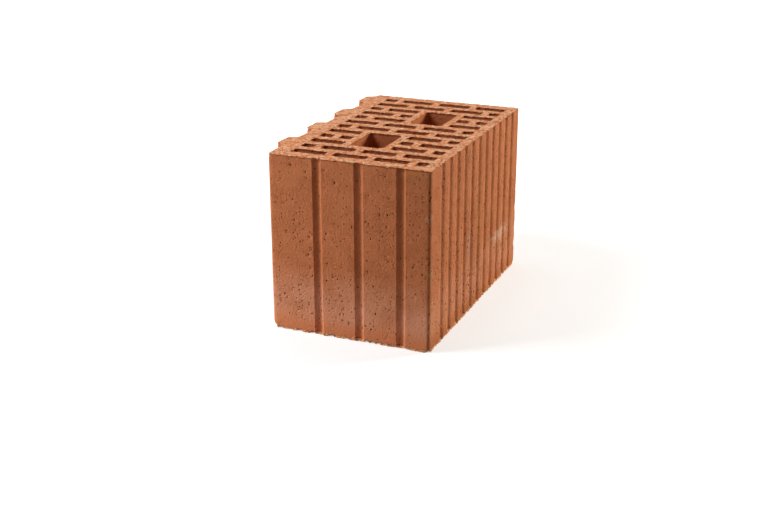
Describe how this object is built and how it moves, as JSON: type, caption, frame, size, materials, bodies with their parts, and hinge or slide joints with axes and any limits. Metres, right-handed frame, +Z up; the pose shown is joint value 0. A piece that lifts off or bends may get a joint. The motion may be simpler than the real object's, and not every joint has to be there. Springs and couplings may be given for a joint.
{
  "type": "clay brick",
  "caption": "Large vertically perforated clay wall block with staggered rows of slots, grip holes, side tongues and grooved faces.",
  "frame": {"origin": "middle of the block's box, on the bed face it stands on", "axes": "+X from the tongued side to the finely grooved side, +Y from the front face through the wall, +Z up, along the slots and the direction of extrusion"},
  "size_m": [0.245, 0.375, 0.249],
  "materials": {
    "fired_clay": "matt, rough, unglazed fired clay: drawn side faces and lighter, torn cut faces"
  },
  "bodies": {
    "root": {"clay_block": "fired_clay"}
  },
  "joints": []
}
